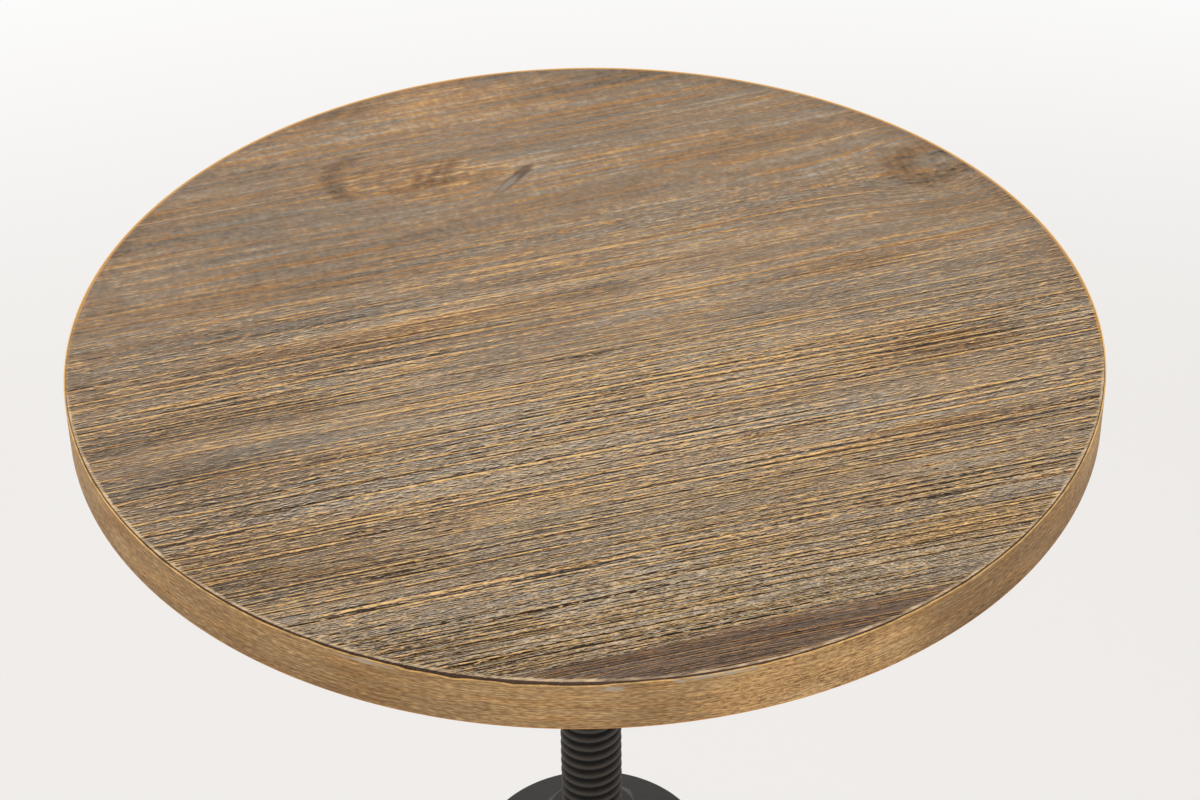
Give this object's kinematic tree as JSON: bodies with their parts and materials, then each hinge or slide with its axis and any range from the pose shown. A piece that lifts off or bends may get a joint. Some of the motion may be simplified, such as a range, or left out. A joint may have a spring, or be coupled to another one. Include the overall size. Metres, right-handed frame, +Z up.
{
  "type": "screw-height bar stool",
  "caption": "Round wooden seat on a threaded spindle that screws up and down in a hub, on splayed tube legs with a foot ring.",
  "frame": {"origin": "on the floor, under the spindle's axis", "axes": "+Z up along the spindle's axis, +X to the right in the picture, +Y away from its camera"},
  "size_m": [0.3484, 0.3484, 0.78],
  "materials": {
    "seat_wood": "wire-brushed softwood with a grey-brown wash, matt",
    "band_wood": "thin wood veneer band, golden brown, satin",
    "black_steel": "black powder coat, satin",
    "dark_fastener": "blackened steel",
    "zinc_fastener": "zinc plated steel",
    "black_plastic": "moulded black plastic"
  },
  "bodies": {
    "base": {"hub_disc": "black_steel", "spindle_nut": "black_steel", "guide_sleeve": "black_steel", "hub_spider": "black_steel", "leg_1": "black_steel", "leg_2": "black_steel", "leg_3": "black_steel", "leg_4": "black_steel", "foot_glide_1": "black_plastic", "foot_glide_2": "black_plastic", "foot_glide_3": "black_plastic", "foot_glide_4": "black_plastic", "leg_bolts": "dark_fastener", "footrest_ring": "black_steel", "footrest_spacers": "black_steel", "footrest_bolts": "dark_fastener", "footrest_cap_nuts": "dark_fastener"},
    "stop_washer": {"stop_washer": "zinc_fastener"},
    "seat": {"seat_board": "seat_wood", "seat_edge_band": "band_wood", "seat_plate": "black_steel", "plate_screws": "zinc_fastener", "spindle_collar": "black_steel", "spindle": "black_steel", "stop_bolt": "zinc_fastener"}
  },
  "joints": [
    {"name": "seat_lift", "type": "slide", "parent": "base", "child": "stop_washer", "axis": [0, 0, 1], "range_m": [-0.1601, 0.0241]},
    {"name": "seat_turn", "type": "hinge", "parent": "stop_washer", "child": "seat", "pos_m": [0, 0, 0.4535], "axis": [0, 0, 1], "range_deg": [-14400, 2160]}
  ],
  "couplings": [
    {"joint": "seat_lift", "follows": "seat_turn", "m_per_rad": 0.00063662}
  ]
}
